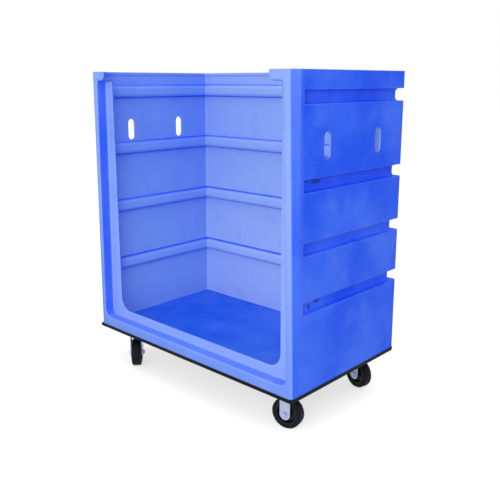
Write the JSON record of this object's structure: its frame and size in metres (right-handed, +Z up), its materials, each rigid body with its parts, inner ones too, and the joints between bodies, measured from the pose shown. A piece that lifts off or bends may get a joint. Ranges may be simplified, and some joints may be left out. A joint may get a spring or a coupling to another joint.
{
  "type": "bulk cart",
  "caption": "Moulded blue polyethylene bulk cart: tall three-walled tub with open top and low front sill, on a black steel chassis with swivel casters.",
  "frame": {"origin": "on the floor under the middle of the cart's footprint", "axes": "+X to the right along the cart's width as seen from the open front, +Y to the rear, +Z up"},
  "size_m": [1.424, 0.846, 1.622],
  "materials": {
    "blue_polyethylene": "moulded satin polyethylene with a fine orange-peel texture",
    "black_steel": "black powder coat",
    "zinc_steel": "bright zinc plating, dulled by use",
    "bearing_steel": "ground and greased",
    "black_core": "moulded polyolefin",
    "black_rubber": "dusty rubber tread"
  },
  "bodies": {
    "root": {"tub": "blue_polyethylene", "chassis_pan": "black_steel", "front_rail": "black_steel", "rear_rail": "black_steel", "tub_screws": "zinc_steel", "tub_nuts": "zinc_steel", "plate_bolts": "zinc_steel", "plate_nuts": "zinc_steel", "top_plate_front_right": "zinc_steel", "kingpin_front_right": "zinc_steel", "kingpin_nut_front_right": "zinc_steel", "lower_race_front_right": "zinc_steel", "swivel_balls_front_right": "bearing_steel", "top_plate_rear_right": "zinc_steel", "kingpin_rear_right": "zinc_steel", "kingpin_nut_rear_right": "zinc_steel", "lower_race_rear_right": "zinc_steel", "swivel_balls_rear_right": "bearing_steel", "top_plate_front_left": "zinc_steel", "kingpin_front_left": "zinc_steel", "kingpin_nut_front_left": "zinc_steel", "lower_race_front_left": "zinc_steel", "swivel_balls_front_left": "bearing_steel", "top_plate_rear_left": "zinc_steel", "kingpin_rear_left": "zinc_steel", "kingpin_nut_rear_left": "zinc_steel", "lower_race_rear_left": "zinc_steel", "swivel_balls_rear_left": "bearing_steel"},
    "fork_front_right": {"fork_front_right": "zinc_steel", "axle_bolt_front_right": "zinc_steel", "axle_nut_front_right": "zinc_steel", "axle_sleeve_front_right": "bearing_steel"},
    "wheel_front_right": {"hub_rollers_front_right": "bearing_steel", "wheel_core_front_right": "black_core", "tyre_front_right": "black_rubber"},
    "fork_rear_right": {"fork_rear_right": "zinc_steel", "axle_bolt_rear_right": "zinc_steel", "axle_nut_rear_right": "zinc_steel", "axle_sleeve_rear_right": "bearing_steel"},
    "wheel_rear_right": {"hub_rollers_rear_right": "bearing_steel", "wheel_core_rear_right": "black_core", "tyre_rear_right": "black_rubber"},
    "fork_front_left": {"fork_front_left": "zinc_steel", "axle_bolt_front_left": "zinc_steel", "axle_nut_front_left": "zinc_steel", "axle_sleeve_front_left": "bearing_steel"},
    "wheel_front_left": {"hub_rollers_front_left": "bearing_steel", "wheel_core_front_left": "black_core", "tyre_front_left": "black_rubber"},
    "fork_rear_left": {"fork_rear_left": "zinc_steel", "axle_bolt_rear_left": "zinc_steel", "axle_nut_rear_left": "zinc_steel", "axle_sleeve_rear_left": "bearing_steel"},
    "wheel_rear_left": {"hub_rollers_rear_left": "bearing_steel", "wheel_core_rear_left": "black_core", "tyre_rear_left": "black_rubber"}
  },
  "joints": [
    {"name": "swivel_front_right", "type": "hinge", "parent": "root", "child": "fork_front_right", "pos_m": [0.534, -0.303, 0.15], "axis": [0, 0, 1], "continuous": true},
    {"name": "roll_front_right", "type": "hinge", "parent": "fork_front_right", "child": "wheel_front_right", "pos_m": [0.58701, -0.2927, 0.076], "axis": [-0.1908, 0.9816, 0], "continuous": true},
    {"name": "swivel_rear_right", "type": "hinge", "parent": "root", "child": "fork_rear_right", "pos_m": [0.534, 0.303, 0.15], "axis": [0, 0, 1], "continuous": true},
    {"name": "roll_rear_right", "type": "hinge", "parent": "fork_rear_right", "child": "wheel_rear_right", "pos_m": [0.58662, 0.29085, 0.076], "axis": [0.225, 0.9744, 0], "continuous": true},
    {"name": "swivel_front_left", "type": "hinge", "parent": "root", "child": "fork_front_left", "pos_m": [-0.534, -0.303, 0.15], "axis": [0, 0, 1], "continuous": true},
    {"name": "roll_front_left", "type": "hinge", "parent": "fork_front_left", "child": "wheel_front_left", "pos_m": [-0.49516, -0.34051, 0.076], "axis": [0.6947, 0.7193, 0], "continuous": true},
    {"name": "swivel_rear_left", "type": "hinge", "parent": "root", "child": "fork_rear_left", "pos_m": [-0.534, 0.303, 0.15], "axis": [0, 0, 1], "continuous": true},
    {"name": "roll_rear_left", "type": "hinge", "parent": "fork_rear_left", "child": "wheel_rear_left", "pos_m": [-0.58294, 0.32582, 0.076], "axis": [-0.4226, -0.9063, 0], "continuous": true}
  ]
}
